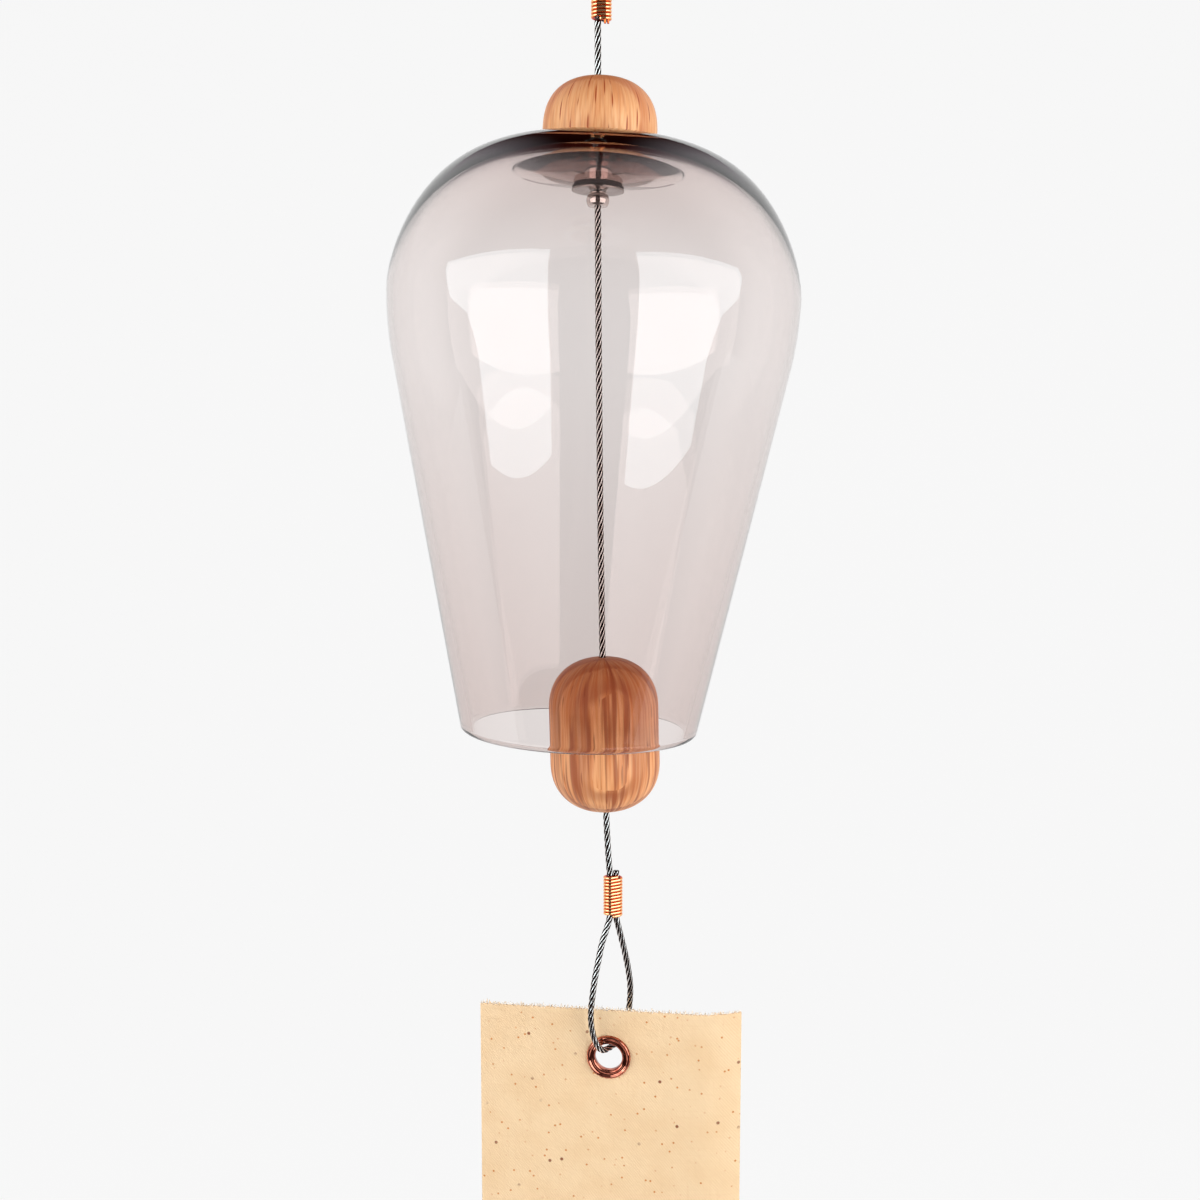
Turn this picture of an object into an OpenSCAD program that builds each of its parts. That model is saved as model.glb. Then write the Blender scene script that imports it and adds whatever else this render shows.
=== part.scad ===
// Glass wind bell on a stranded wire rope: hanging loop, wooden cap, blown
// glass bell, wooden clapper and a cotton wind sail. Millimetres, +Z up, the
// front faces -Y. The origin is the point of the hanging loop that bears on
// a hook, so everything else hangs below it.

/* [Wire rope] */
// Diameter of the stranded steel wire rope
rope_d = 1.6; // [1.4:0.1:1.8]
// Free rope between the upper whipping and the cap
upper_free = 13.1; // [10:0.1:30]
// Free rope between the ball stop and the clapper
clapper_free = 110.7; // [108:0.1:114]
// Free rope between the clapper and the lower whipping
drop_free = 16.7; // [12:0.1:40]
// Rope tail that stands out above the lower whipping
tail_out = 0.9; // [0.4:0.1:4]

/* [Whippings] */
// Diameter of the copper wire that binds each loop
wire_d = 0.8; // [0.8:0.05:1]
// Turns of wire in each whipping
whip_turns = 13; // [8:1:16]
// Play between neighbouring turns
wire_gap = 0.04; // [0.04:0.02:0.2]
// Play between the two strands of rope inside a whipping
strand_gap = 0.1; // [0.06:0.02:0.3]
// Turn of the upper whipping's flat face about the rope
upper_whip_yaw = 4; // [0:1:40]
// Turn of the lower whipping's flat face about the rope
lower_whip_yaw = 17; // [0:1:40]

/* [Cap] */
// Diameter of the wooden cap
cap_d = 27.5; // [20:0.5:31]
// Height of the wooden cap
cap_h = 15.5; // [14:0.5:18]
// Height of the cap's domed top, above its straight foot
cap_round = 13; // [4:0.2:13.6]
// Bore of the cap, wide enough for the bell to lean
cap_bore_d = 4; // [3.8:0.1:6]
// Thickness of the thin pad between cap and glass
pad_t = 0.4; // [0.2:0.1:1]
// How far the pad's edge stays inside the cap's edge
pad_inset = 0.2; // [0.1:0.1:1]

/* [Glass bell] */
// Largest diameter of the glass
bell_d = 99.6; // [92:0.4:108]
// Height of the glass, from the ground seat at the crown to the rim
bell_h = 142; // [140:0.5:147]
// Depth of the widest place below the crown's seat
belly_depth = 34.8; // [32:0.1:40]
// Outer diameter of the glass where the rim's lip begins to round in
rim_d = 58.6; // [58:0.2:66]
// Radius over which the belly turns into the straight cone
belly_bend = 86; // [70:1:110]
// Thickness of the glass at the belly
wall_t = 1.3; // [1.2:0.1:2.6]
// Thickness of the glass at the rim
rim_t = 2.8; // [2:0.1:3]
// Thickness of the crown on its axis, if it had no boss
crown_t = 1.8; // [0.8:0.2:4]
// Thickness of the crown at the boss that the washers bear on
boss_t = 6.4; // [6:0.2:9]
// Radius of the boss where it runs out into the crown
boss_r = 21.5; // [14:0.5:24]
// Diameter of the hole through the crown
crown_bore_d = 6; // [5:0.2:8]
// Lean of the bell as it hangs, foot to the left
bell_lean = 2.1; // [0:0.1:2.1]

/* [Washers and stop] */
// Diameter of the soft seal washer under the glass
seal_d = 11.8; // [9:0.2:12.4]
// Thickness of the soft seal washer
seal_t = 0.9; // [0.5:0.1:2]
// Diameter of the rubber washer
rubber_d = 12.6; // [9:0.2:14]
// Thickness of the rubber washer
rubber_t = 0.8; // [0.5:0.1:2]
// Diameter of the steel washer
steel_d = 12.8; // [9:0.2:16]
// Thickness of the steel washer
steel_t = 0.5; // [0.3:0.1:1.2]
// Bore of the three washers
washer_bore_d = 2.8; // [2.6:0.1:3.4]
// Running gap between the steel washer and the ball stop
stop_gap = 0.2; // [0.15:0.05:0.4]
// Diameter of the collar on top of the ball stop
collar_d = 4.2; // [4:0.1:6]
// Height of that collar
collar_h = 0.6; // [0.6:0.1:2]
// Diameter of the ball stop
ball_d = 5.6; // [4.6:0.1:8]
// Height of the ball, which is cut flat above and below
ball_h = 3.3; // [2:0.1:4]
// Sideways place of the ball stop under the hook
stop_x = -0.1; // [-0.4:0.1:0.4]

/* [Clapper] */
// Diameter of the wooden clapper
bead_d = 27.4; // [20:0.2:29]
// Height of the wooden clapper
bead_h = 38.8; // [30:0.2:44]
// Height of its domed ends
bead_round = 12.6; // [5:0.1:14]
// Sideways drift of the rope between the stop and the clapper
clapper_shift = 1.1; // [0:0.1:2]
// Tilt of the clapper on the rope
bead_tilt = 1.4; // [0:0.1:3]
// Sideways step from the clapper's foot to the lower whipping
whip_shift = 1.7; // [1:0.1:3]

/* [Sail] */
// Width of the cotton sail
sail_w = 67; // [50:1:90]
// Length of the cotton sail
sail_h = 150; // [110:1:200]
// Thickness of the cloth
cloth_t = 0.5; // [0.4:0.05:1]
// Distance from the sail's top edge to the eyelet's centre
eyelet_drop = 12.3; // [10:0.1:13]
// Turn of the sail about the rope, right edge to the front
sail_yaw = 8; // [0:1:12]
// How far the right edge curls back
curl_d = 3.6; // [0:0.1:8]
// Width of the strip that curls
curl_w = 11; // [6:0.5:20]
// Depth of the soft fold near the foot
fold_d = 3; // [0:0.1:6]

/* [Eyelet] */
// Outer diameter of the copper eyelet
eyelet_d = 11.3; // [10.4:0.1:13]
// Hole of the eyelet
eyelet_bore_d = 6.9; // [6.5:0.1:7.5]
// Wall of the eyelet's sheet metal
eyelet_t = 0.35; // [0.25:0.05:0.5]
// Height of the rolled front flange above the cloth
flange_h = 1; // [0.6:0.1:1.4]
// Outer diameter of the flat washer behind the cloth
back_d = 10.8; // [10:0.1:13]
// Overhang of the barrel's rolled end over that washer
roll_w = 0.7; // [0.4:0.1:1]

/* [Fits] */
// Clearance between pieces that touch on the real object
fit = 0.05; // [0.03:0.01:0.1]
// Gap where one stretch of rope turns against the next
hinge_gap = 0.35; // [0.3:0.05:0.6]
// Gap between the eyelet's hole and the rope that carries the sail
bearing_gap = 0.45; // [0.4:0.05:0.8]
// Gap between a whipping's wire and the rope inside it
wind_gap = 0.25; // [0.15:0.05:0.4]

/* [Hidden] */

$fn = 96;
rope_r = rope_d / 2;
strand_x = (rope_d + strand_gap) / 2;
// the form of a whipping is a finer wire than the real one, so its turns part
form_share = 0.5;
form_d = wire_d * form_share;
wire_pitch = wire_d + wire_gap;
whip_h = whip_turns * wire_pitch;
rope_sides = 8;
wire_sides = 6;
loop_rings = 24;

// hanging loop from the whipping's top centre, up the left leg and down the
// right one; its middle point is the one over the hook
hang_route = [[-1.2, -0.2, 2], [-2.2, -0.3, 6.2], [-3.4, -0.4, 10.6],
    [-4.6, -0.5, 15.2], [-5.4, -0.5, 20], [-5.7, -0.4, 24.4],
    [-5.1, -0.3, 28.6], [-3.5, -0.2, 31.7], [-0.7, 0, 33], [2.1, 0.2, 31.9],
    [4.1, 0.3, 28.8], [4.8, 0.4, 24.4], [4.6, 0.5, 20], [3.9, 0.5, 15.2],
    [2.9, 0.4, 10.6], [1.9, 0.3, 6.2], [1.1, 0.2, 2]];
hang_top = 8;
// sail loop from the lower whipping's foot, down in front of the sail,
// through the eyelet and up behind it; its lowest point carries the sail
sail_route = [[-1.4, -0.5, -2.4], [-2.7, -1.2, -6.4], [-3.7, -1.9, -11],
    [-4.6, -2.5, -15.6], [-5.2, -2.9, -20], [-5.6, -3.1, -24.4],
    [-5.4, -3.2, -28], [-4.7, -3.1, -31], [-3.7, -2.8, -33.3],
    [-2.5, -1.9, -34.5], [-1, 0, -34.8], [0.5, 1.9, -34.5],
    [1.9, 2.9, -33.2], [3, 3.4, -30.6], [3.9, 3.5, -27.4],
    [4.4, 3.3, -23.6], [4.5, 3, -19.4], [4, 2.4, -15],
    [3.2, 1.7, -10.6], [2.2, 1, -6.2], [1.3, 0.4, -2.4]];
sail_low = 10;
// drift of the rope's straight stretches, as shares of shift and length
drift_shares = [[0, 0], [0.03, 0.1], [0.12, 0.28], [0.3, 0.5], [0.55, 0.72],
    [0.8, 0.88], [1, 1]];

// heights, from the hook down
hang_x = -hang_route[hang_top][0];
z_whip1_top = rope_r - hang_route[hang_top][2];
z_whip1_foot = z_whip1_top - whip_h;
z_cap_top = z_whip1_foot - upper_free;
z_cap_foot = z_cap_top - cap_h;
z_seat = z_cap_foot - pad_t;
z_boss = z_seat - boss_t;
z_pivot = z_boss - fit - seal_t - rubber_t - steel_t - stop_gap;
z_ball_foot = z_pivot - collar_h - ball_h;
z_bead_top = z_ball_foot - clapper_free;
bead_top_x = stop_x + clapper_shift;
bead_foot_x = bead_top_x + bead_h * sin(bead_tilt);
z_bead_foot = z_bead_top - bead_h * cos(bead_tilt);
z_whip2_top = z_bead_foot - drop_free;
z_whip2_foot = z_whip2_top - whip_h;
whip2_x = bead_foot_x + whip_shift;
bearing = [whip2_x, 0, z_whip2_foot] + sail_route[sail_low];

// the rope bears on the top of the eyelet's hole
eyelet_r = eyelet_d / 2;
eyelet_bore_r = eyelet_bore_d / 2;
z_eyelet = bearing[2] + rope_r + bearing_gap - eyelet_bore_r;
barrel_r = eyelet_bore_r + eyelet_t;
cloth_hole_r = barrel_r + fit;
z_sail_top = z_eyelet + eyelet_drop;

function unit(v) = v / norm(v);
function pick(list, i) = list[max(0, min(len(list) - 1, i))];
// one ring of a tube at each point, square to the way the tube runs
function tube_points(path, r, sides, up) = [
    for (i = [0 : len(path) - 1])
        let (t = unit(pick(path, i + 1) - pick(path, i - 1)),
             n = unit(cross(t, up)), b = cross(n, t))
        for (k = [0 : sides - 1])
            path[i] + r * (cos(360 * k / sides) * n + sin(360 * k / sides) * b)];
function tube_faces(rings, sides) = concat(
    [for (i = [0 : rings - 2], k = [0 : sides - 1])
        let (a = i * sides + k, b = i * sides + (k + 1) % sides)
        each [[a, a + sides, b + sides], [a, b + sides, b]]],
    [for (k = [1 : sides - 2]) [0, k, k + 1]],
    [for (k = [1 : sides - 2])
        let (e = (rings - 1) * sides) [e, e + k + 1, e + k]]);

module tube(path, r, sides, up = [0, 1, 0])
    polyhedron(points = tube_points(path, r, sides, up),
        faces = tube_faces(len(path), sides), convexity = 10);

// a point on the stadium that one turn of wire follows, s counted in turns
function stadium(s, a, r) =
    let (u = s - floor(s), round_l = PI * r, whole = 4 * a + 2 * round_l,
         d = u * whole, right = (d - a) / round_l * 180,
         left = (d - 3 * a - round_l) / round_l * 180)
    d < a ? [d, -r]
    : d < a + round_l ? [a + r * sin(right), -r * cos(right)]
    : d < 3 * a + round_l ? [2 * a + round_l - d, r]
    : d < 3 * a + 2 * round_l ? [-a - r * sin(left), r * cos(left)]
    : [d - whole, -r];
// the wire's own path: helical turns, then one diameter straight at each end
function winding() =
    let (r = rope_r + wind_gap + form_d / 2,
         turns = whip_turns - form_d / wire_pitch,
         steps = floor(turns * loop_rings),
         body = [for (i = [0 : steps])
             let (p = stadium(i / loop_rings, strand_x, r))
             [p[0], p[1], form_d / 2 + i / loop_rings * wire_pitch]],
         lead = unit(body[0] - body[1]) * form_d,
         tail = unit(body[steps] - body[steps - 1]) * form_d)
    concat([body[0] + lead], body, [body[steps] + tail]);
function least_gap(path, apart) = min([
    for (i = [0 : 3 : len(path) - 1 - apart], j = [i + apart : len(path) - 1])
        norm(path[i] - path[j])]) - form_d;
echo(least_gap_of_winding = least_gap(winding(), floor(loop_rings / 2)));

module whipping(x, z_foot, yaw)
    translate([x, 0, z_foot]) rotate([0, 0, yaw])
        tube(winding(), form_d / 2, wire_sides, [0, 0, 1]);

// places of the two strands inside a whipping
function strand(x, yaw, side, z) =
    [x + side * strand_x * cos(yaw), side * strand_x * sin(yaw), z];
function drift(a, b) = [for (s = drift_shares)
    [a[0] + (b[0] - a[0]) * s[0], a[1] + (b[1] - a[1]) * s[0],
     a[2] + (b[2] - a[2]) * s[1]]];

// hanging loop: stub inside the whipping, round the hook and back down
module hanging_loop() color("darkgray")
    tube(concat(
        [for (q = [0, 0.5, 1])
            strand(hang_x, upper_whip_yaw, -1, z_whip1_foot + q * whip_h)],
        [for (p = hang_route) [hang_x, 0, z_whip1_top] + p],
        [for (q = [1, 0.5]) strand(hang_x, upper_whip_yaw, 1, z_whip1_foot + q * whip_h),
         strand(hang_x, upper_whip_yaw, 1, z_whip1_foot + fit)]),
        rope_r, rope_sides);

module upper_whipping() color("chocolate")
    whipping(hang_x, z_whip1_foot, upper_whip_yaw);

// rope from the upper whipping down into the ball stop
upper_from = strand(hang_x, upper_whip_yaw, -1, z_whip1_foot - hinge_gap);
upper_bend = 9;
module upper_rope() color("darkgray")
    tube([for (q = [0 : upper_bend])
        let (s = q / upper_bend, ease = min(1, s * 1.6), e = ease * (2 - ease))
        [upper_from[0] + (stop_x - upper_from[0]) * e, upper_from[1] * (1 - e),
         upper_from[2] + (z_ball_foot + hinge_gap - upper_from[2]) * s]],
        rope_r, rope_sides);

// ball stop that carries the washers: a collar on a ball cut flat
module ball_stop() color("silver")
    translate([stop_x, 0, 0]) difference() {
        union() {
            translate([0, 0, z_pivot - collar_h])
                cylinder(d = collar_d, h = collar_h);
            intersection() {
                translate([0, 0, z_ball_foot + ball_h / 2]) sphere(d = ball_d);
                translate([0, 0, z_ball_foot]) cylinder(d = ball_d, h = ball_h);
            }
        }
        translate([0, 0, z_ball_foot - ball_h])
            cylinder(r = rope_r + fit, h = 3 * ball_h + collar_h);
    }

// everything on the bell leans about the top of the ball stop
module lean()
    translate([stop_x, 0, z_pivot]) rotate([0, bell_lean, 0])
        translate([0, 0, -z_pivot]) children();

module washer(d, t, bore, z)
    lean() translate([0, 0, z]) difference() {
        cylinder(d = d, h = t);
        translate([0, 0, -t]) cylinder(d = bore, h = 3 * t);
    }
module steel_washer() color("lightgray")
    washer(steel_d, steel_t, washer_bore_d, z_pivot + stop_gap);
module rubber_washer() color("black")
    washer(rubber_d, rubber_t, washer_bore_d, z_pivot + stop_gap + steel_t);
module seal_washer() color("dimgray")
    washer(seal_d, seal_t, washer_bore_d, z_boss - fit - seal_t);

// a turned dome's outline, from its foot to the edge of its bore
cap_power = 2.55;
bead_power = 2.25;
dome_steps = 16;
function dome(r, h, power, bore_r, z_top) =
    let (last = acos(pow(bore_r / r, power / 2)))
    [for (i = [0 : dome_steps])
        let (a = last * i / dome_steps)
        [r * pow(cos(a), 2 / power),
         z_top - h + h * pow(sin(a), 2 / power)]];

// wooden cap: a turned dome on a short straight foot, bored for the rope
module oak_cap() color("burlywood") lean()
    rotate_extrude() polygon(concat(
        [[cap_bore_d / 2, z_cap_foot], [cap_d / 2, z_cap_foot]],
        dome(cap_d / 2, cap_round, cap_power, cap_bore_d / 2, z_cap_top)));
module cap_pad() color("peru")
    washer(cap_d - 2 * pad_inset, pad_t, cap_bore_d + 2 * pad_inset, z_seat);

// glass: a rounded shoulder above the belly, a bend and a straight cone below
shoulder_flat_share = 0.967;
shoulder_z_power = 1.55;
shoulder_r_power = 3.35;
bell_r = bell_d / 2;
shoulder_h = belly_depth / shoulder_flat_share;
z_belly = z_seat - belly_depth;
z_rim = z_seat - bell_h;
// angle of the cone that reaches the rim, found by halving
function cone_reach(a, r, foot_r) = r - belly_bend * (1 - cos(a))
    - (bell_h - belly_depth - belly_bend * sin(a)) * tan(a) - foot_r;
function cone_angle(r, foot_r, lo = 2, hi = 30, n = 30) =
    n == 0 ? (lo + hi) / 2
    : let (m = (lo + hi) / 2)
      cone_reach(m, r, foot_r) > 0 ? cone_angle(r, foot_r, m, hi, n - 1)
      : cone_angle(r, foot_r, lo, m, n - 1);
shoulder_steps = 22;
bend_steps = 8;
function shoulder_r(t, r) =
    r * pow(max(0, 1 - pow(t, shoulder_z_power)), 1 / shoulder_r_power);
// from the rim up over the belly and the shoulder to the share t_top
function outline(r, foot_r, rise, t_top) =
    let (a = cone_angle(r, foot_r), z_bend = z_belly - belly_bend * sin(a),
         z_lip = z_rim + rim_t / 2,
         r_lip = foot_r + (z_lip - z_rim) * tan(a))
    concat([[r_lip, z_lip]],
        [for (i = [0 : bend_steps])
            let (b = a * (1 - i / bend_steps))
            [r - belly_bend * (1 - cos(b)), z_belly - belly_bend * sin(b)]],
        [for (i = [1 : shoulder_steps])
            let (t = t_top * sin(90 * i / shoulder_steps))
            [shoulder_r(t, r), z_belly + rise * t]]);
inner_r = bell_r - wall_t;
inner_rise = belly_depth - crown_t;
function share_at(radius, r) =
    pow(1 - pow(radius / r, shoulder_r_power), 1 / shoulder_z_power);
boss_flat_r = seal_d / 2 + pad_t;
module glass_bell() color("rosybrown", 0.4) lean()
    rotate_extrude() {
        outer = outline(bell_r, rim_d / 2, shoulder_h, shoulder_flat_share);
        inner = outline(inner_r, rim_d / 2 - rim_t, inner_rise,
            share_at(boss_r, inner_r));
        lip = (outer[0][0] + inner[0][0]) / 2;
        lip_w = (outer[0][0] - inner[0][0]) / 2;
        n = len(inner) - 1;
        polygon(concat(
            [for (k = [1 : 7]) [lip - lip_w * cos(180 * k / 8),
                outer[0][1] - rim_t / 2 * sin(180 * k / 8)]],
            outer,
            [[crown_bore_d / 2, z_seat], [crown_bore_d / 2, z_boss],
             [boss_flat_r, z_boss]],
            [for (k = [0 : n]) inner[n - k]]));
    }

// rope from the ball stop into the clapper, down to the clapper's foot
module clapper_rope() color("darkgray")
    tube(concat(
        drift([stop_x, 0, z_ball_foot - hinge_gap], [bead_top_x, 0, z_bead_top]),
        [for (q = [0.1, 0.5, 1])
            [bead_top_x + (bead_foot_x - bead_top_x) * q, 0,
             z_bead_top + (z_bead_foot - z_bead_top) * q]]),
        rope_r, rope_sides);

// wooden clapper with rounded ends, bored for the rope
module clapper_bead() color("tan")
    translate([bead_top_x, 0, z_bead_top]) rotate([0, -bead_tilt, 0])
        rotate_extrude() polygon(let (
            bore_r = rope_r + 2 * fit,
            top = dome(bead_d / 2, bead_round, bead_power, bore_r, 0),
            n = len(top) - 1)
            concat(top, [for (i = [0 : n])
                [top[n - i][0], -bead_h - top[n - i][1]]]));

// rope under the clapper: through the whipping, round the eyelet and back
drop_shares = [[0, 0], [0.02, 0.14], [0.3, 0.45], [0.72, 0.8]];
module sail_loop() color("darkgray")
    tube(concat(
        [for (s = drop_shares)
            let (a = [bead_foot_x, 0, z_bead_foot - hinge_gap],
                 b = strand(whip2_x, lower_whip_yaw, -1, z_whip2_top))
            [a[0] + (b[0] - a[0]) * s[0], a[1] + (b[1] - a[1]) * s[0],
             a[2] + (b[2] - a[2]) * s[1]]],
        [for (q = [1, 0.5, 0])
            strand(whip2_x, lower_whip_yaw, -1, z_whip2_foot + q * whip_h)],
        [for (p = sail_route) [whip2_x, 0, z_whip2_foot] + p],
        [for (q = [0, 0.5])
            strand(whip2_x, lower_whip_yaw, 1, z_whip2_foot + q * whip_h)],
        [strand(whip2_x, lower_whip_yaw, 1, z_whip2_top + tail_out)]),
        rope_r, rope_sides);

module lower_whipping() color("chocolate")
    whipping(whip2_x, z_whip2_foot, lower_whip_yaw);

// cloth: u across, v down from the top edge, flat round the eyelet
curl_left_share = 0.4;
fold_waves = 0.9;
function curl(u, v) =
    let (c = max(0, (u - sail_w / 2 + curl_w) / curl_w))
    curl_d * c * c * (1 - (1 - curl_left_share) * v / sail_h);
function fold(u, v) =
    let (clear_v = eyelet_drop + eyelet_d,
         s = max(0, (v - clear_v) / (sail_h - clear_v)))
    fold_d * s * s * sin(360 * fold_waves * u / sail_w);
cells_u = 20;
cells_v = 24;
function cloth_point(i, j, side) =
    let (u = sail_w * (i / cells_u - 1 / 2), v = sail_h * j / cells_v)
    [u, side * cloth_t / 2 + curl(u, v) + fold(u, v), z_sail_top - v];
function cloth_faces() =
    let (w = cells_u + 1, h = cells_v + 1, s = w * h)
    concat(
        [for (i = [0 : cells_u - 1], j = [0 : cells_v - 1])
            let (a = j * w + i)
            each [[a, a + w + 1, a + w], [a, a + 1, a + w + 1],
                  [s + a, s + a + w, s + a + w + 1],
                  [s + a, s + a + w + 1, s + a + 1]]],
        [for (i = [0 : cells_u - 1]) let (b = cells_v * w + i)
            each [[i, s + i, s + i + 1], [i, s + i + 1, i + 1],
                  [b, b + 1, s + b + 1], [b, s + b + 1, s + b]]],
        [for (j = [0 : cells_v - 1]) let (a = j * w, b = j * w + cells_u)
            each [[a, a + w, s + a + w], [a, s + a + w, s + a],
                  [b, s + b + w, b + w], [b, s + b, s + b + w]]]);
module on_sail()
    translate([bearing[0], 0, 0]) rotate([0, 0, -sail_yaw]) children();
module sail_cloth() color("wheat") on_sail()
    difference() {
        polyhedron(points = [for (side = [-1, 1], j = [0 : cells_v],
                i = [0 : cells_u]) cloth_point(i, j, side)],
            faces = cloth_faces(), convexity = 6);
        translate([0, 0, z_eyelet]) rotate([90, 0, 0])
            cylinder(r = cloth_hole_r, h = 4 * cloth_t, center = true);
    }

// copper eyelet: rolled front flange, barrel and a rolled back end
back_t = eyelet_t;
front_y = cloth_t / 2 + fit;
back_y = cloth_t / 2 + fit;
module about_hole() on_sail()
    translate([0, 0, z_eyelet]) rotate([90, 0, 0]) rotate_extrude() children();
module eyelet() color("sienna") about_hole() {
    mid_r = (eyelet_r + eyelet_bore_r) / 2;
    half_w = (eyelet_r - eyelet_bore_r) / 2;
    roll_y = back_y + back_t + fit;
    polygon(concat(
        [for (k = [0 : 10]) [mid_r + half_w * cos(18 * k),
            front_y + flange_h * sin(18 * k)]],
        [[eyelet_bore_r, -roll_y], [eyelet_bore_r + eyelet_t / 2, -roll_y - eyelet_t],
         [barrel_r + roll_w, -roll_y - eyelet_t], [barrel_r + roll_w, -roll_y],
         [barrel_r, -roll_y], [barrel_r, front_y]]));
}
module eyelet_washer() color("sienna") about_hole()
    translate([cloth_hole_r, -back_y - back_t])
        square([back_d / 2 - cloth_hole_r, back_t]);

hanging_loop();
upper_whipping();
upper_rope();
ball_stop();
steel_washer();
rubber_washer();
seal_washer();
oak_cap();
cap_pad();
glass_bell();
clapper_rope();
clapper_bead();
sail_loop();
lower_whipping();
sail_cloth();
eyelet();
eyelet_washer();
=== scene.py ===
# Glass wind bell on a wire rope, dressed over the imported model. Sizes in the
# settings are millimetres, the studio's are metres as in Blender.
import random
from math import acos, atan2, cos, exp, floor, hypot, pi, radians, sin, sqrt, tan, tau

import bpy
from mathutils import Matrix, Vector


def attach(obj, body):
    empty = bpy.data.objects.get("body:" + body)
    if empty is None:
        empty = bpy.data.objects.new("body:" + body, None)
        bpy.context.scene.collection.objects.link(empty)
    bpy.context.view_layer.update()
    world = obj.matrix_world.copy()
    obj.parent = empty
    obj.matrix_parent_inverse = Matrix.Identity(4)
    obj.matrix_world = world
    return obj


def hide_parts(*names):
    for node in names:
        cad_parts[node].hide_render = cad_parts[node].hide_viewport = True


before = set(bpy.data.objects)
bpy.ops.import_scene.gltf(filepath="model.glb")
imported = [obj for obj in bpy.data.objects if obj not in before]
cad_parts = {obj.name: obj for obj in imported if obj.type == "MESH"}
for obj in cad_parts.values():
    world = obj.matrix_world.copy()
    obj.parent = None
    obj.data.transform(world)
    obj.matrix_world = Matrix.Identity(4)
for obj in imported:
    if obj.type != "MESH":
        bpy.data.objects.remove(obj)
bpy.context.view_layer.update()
mm = 0.001


def metres(point):
    return tuple(value * mm for value in point)


# camera and studio
cameraView = {
    "place": (0.37, -345, -145),
    "tilt": 84,  # degrees from straight down
    "lens": 42,
    "film": 36,
    "nearest": 0.01,
}
bpy.ops.object.camera_add(
    location=metres(cameraView["place"]), rotation=(radians(cameraView["tilt"]), 0, 0)
)
camera = bpy.context.object
camera.name = "benchCamera"
camera.data.lens = cameraView["lens"]
camera.data.sensor_width = cameraView["film"]
camera.data.sensor_fit = "HORIZONTAL"
camera.data.clip_start = cameraView["nearest"]
bpy.context.scene.camera = camera
bpy.context.scene.view_settings.view_transform = "Standard"


# shader maths
class Value:
    # a node's output, so that sums of textures are written as sums
    def __init__(self, finish, socket):
        self.finish = finish
        self.socket = socket

    def maths(self, operation, other=0.0):
        return self.finish.maths(operation, self, other)

    def __add__(self, other):
        return self.maths("ADD", other)

    def __sub__(self, other):
        return self.maths("SUBTRACT", other)

    def __mul__(self, other):
        return self.maths("MULTIPLY", other)

    def __truediv__(self, other):
        return self.maths("DIVIDE", other)

    def __mod__(self, other):
        return self.maths("FLOORED_MODULO", other)

    __radd__ = __add__
    __rmul__ = __mul__

    def __rsub__(self, other):
        return self.finish.maths("SUBTRACT", other, self)

    def __rtruediv__(self, other):
        return self.finish.maths("DIVIDE", other, self)


class Finish:
    # the nodes of one material, or of the world
    def __init__(self, name, home=bpy.data.materials):
        self.owner = home.new(name)
        self.owner.use_nodes = True
        self.tree = self.owner.node_tree
        self.tree.nodes.clear()

    def node(self, kind, inputs={}, output=0, **settings):
        made = self.tree.nodes.new(kind)
        for key, value in settings.items():
            setattr(made, key, value)
        for key, value in inputs.items():
            if isinstance(value, Value):
                self.tree.links.new(value.socket, made.inputs[key])
            else:
                made.inputs[key].default_value = value
        return Value(self, made.outputs[output])

    def maths(self, operation, first, second):
        return self.node("ShaderNodeMath", {0: first, 1: second}, operation=operation)

    def ray(self, fact):
        return self.node("ShaderNodeLightPath", output=fact)

    def place(self, shift=(0, 0, 0), turn=(0, 0, 0)):
        # object coordinates in millimetres about a centre, turned with the piece
        return self.node("ShaderNodeMapping", {
            0: self.node("ShaderNodeTexCoord", output="Object"), "Location": metres(shift),
            "Rotation": turn, "Scale": (mm, mm, mm)}, vector_type="TEXTURE")

    def uv(self, scale=(1, 1, 1)):
        return self.stretch(self.node("ShaderNodeTexCoord", output="UV"), scale)

    def stretch(self, vector, scale):
        return self.node("ShaderNodeMapping", {0: vector, "Scale": scale})

    def split(self, vector):
        return [self.node("ShaderNodeSeparateXYZ", {0: vector}, output=i) for i in range(3)]

    def noise(self, vector, scale=1, detail=2, roughness=0.5):
        return self.node("ShaderNodeTexNoise", {
            "Vector": vector, "Scale": scale, "Detail": detail, "Roughness": roughness})

    def cells(self, vector, scale=1):
        return self.node("ShaderNodeTexVoronoi", {"Vector": vector, "Scale": scale},
                         voronoi_dimensions="2D")

    def ramp(self, value, low, high, first, second):
        # first colour up to low, second from high on
        share = self.node("ShaderNodeMapRange", {
            "Value": value, "From Min": low, "From Max": high})
        return self.mix(share, first, second)

    def band(self, value, low, high, bottom=0, top=1):
        # smooth step from bottom at low to top at high
        return self.node("ShaderNodeMapRange", {
            "Value": value, "From Min": low, "From Max": high, "To Min": bottom,
            "To Max": top}, interpolation_type="SMOOTHSTEP")

    def mix(self, factor, first, second):
        return self.node("ShaderNodeMix", {0: factor, 6: first, 7: second}, output=2,
                         data_type="RGBA")

    def bump(self, height, distance, strength):
        return self.node("ShaderNodeBump", {
            "Height": height, "Distance": distance, "Strength": strength})

    def finishWith(self, settings):
        self.close(self.node("ShaderNodeBsdfPrincipled", settings))
        return self.owner

    def close(self, surface, volume=None, kind="Material"):
        made = self.tree.nodes.new("ShaderNodeOutput" + kind)
        self.tree.links.new(surface.socket, made.inputs["Surface"])
        if volume:
            self.tree.links.new(volume.socket, made.inputs["Volume"])


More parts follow.
